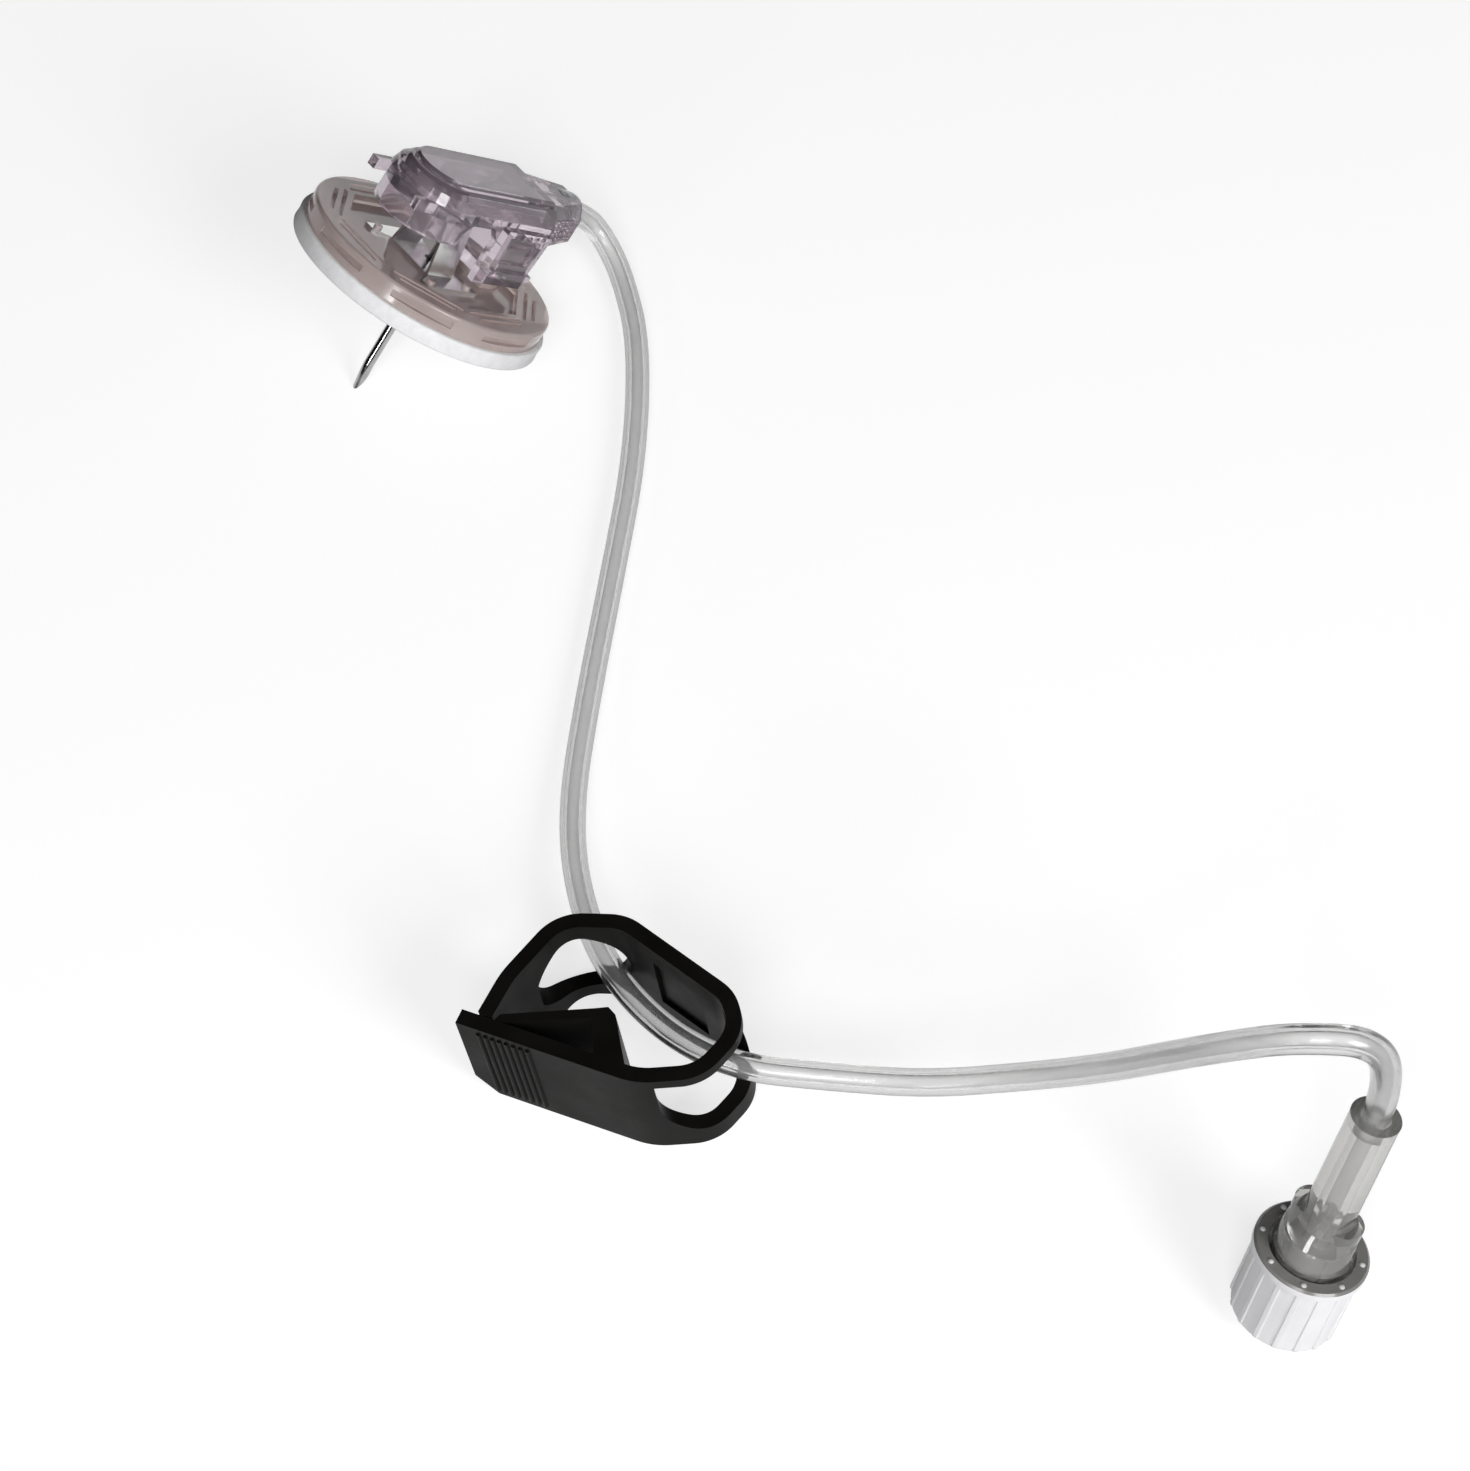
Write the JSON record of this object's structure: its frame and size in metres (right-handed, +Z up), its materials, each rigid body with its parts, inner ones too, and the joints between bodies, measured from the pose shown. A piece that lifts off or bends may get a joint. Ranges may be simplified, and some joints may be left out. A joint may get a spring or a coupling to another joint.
{
  "type": "huber needle set",
  "caption": "Safety port-access needle on a foam-backed clear disc, with a clear extension tube, a black pinch clamp and a capped luer connector.",
  "frame": {"origin": "on the table, below the middle of the needle head's bounding box", "axes": "+Z up from the table; +X to the side that the head's tail and the connector lie on; +Y from the connector towards the head"},
  "size_m": [0.0936, 0.1229, 0.0382],
  "materials": {
    "white_foam": "fine closed-cell foam, dead matt",
    "rose_clear": "clear moulded plastic with a rose-brown tint",
    "steel": "bright drawn and folded stainless steel",
    "violet_clear": "clear moulded plastic with a faint violet tint, polished",
    "smoky_clear": "greyish translucent plastic",
    "tube_clear": "soft clear tubing",
    "black_plastic": "black moulded plastic, satin",
    "hub_clear": "clear hard plastic, polished",
    "white_plastic": "white translucent moulded plastic"
  },
  "bodies": {
    "hub": {"hub_body": "violet_clear", "hub_lid": "violet_clear", "needle": "steel", "tube_socket": "smoky_clear", "tube": "tube_clear", "pinch_clamp": "black_plastic", "luer_hub": "hub_clear"},
    "base": {"base_disc": "rose_clear", "foam_pad": "white_foam", "needle_guard": "steel"},
    "cap": {"luer_cap": "white_plastic"}
  },
  "joints": [
    {"name": "base_slide", "type": "slide", "parent": "hub", "child": "base", "axis": [-0.5385, -0.4147, -0.7336], "range_m": [0, 0.0165]},
    {"name": "cap_slide", "type": "slide", "parent": "cap", "child": "hub", "axis": [0.18, 0.2304, 0.9563], "range_m": [0, 0.012]}
  ]
}
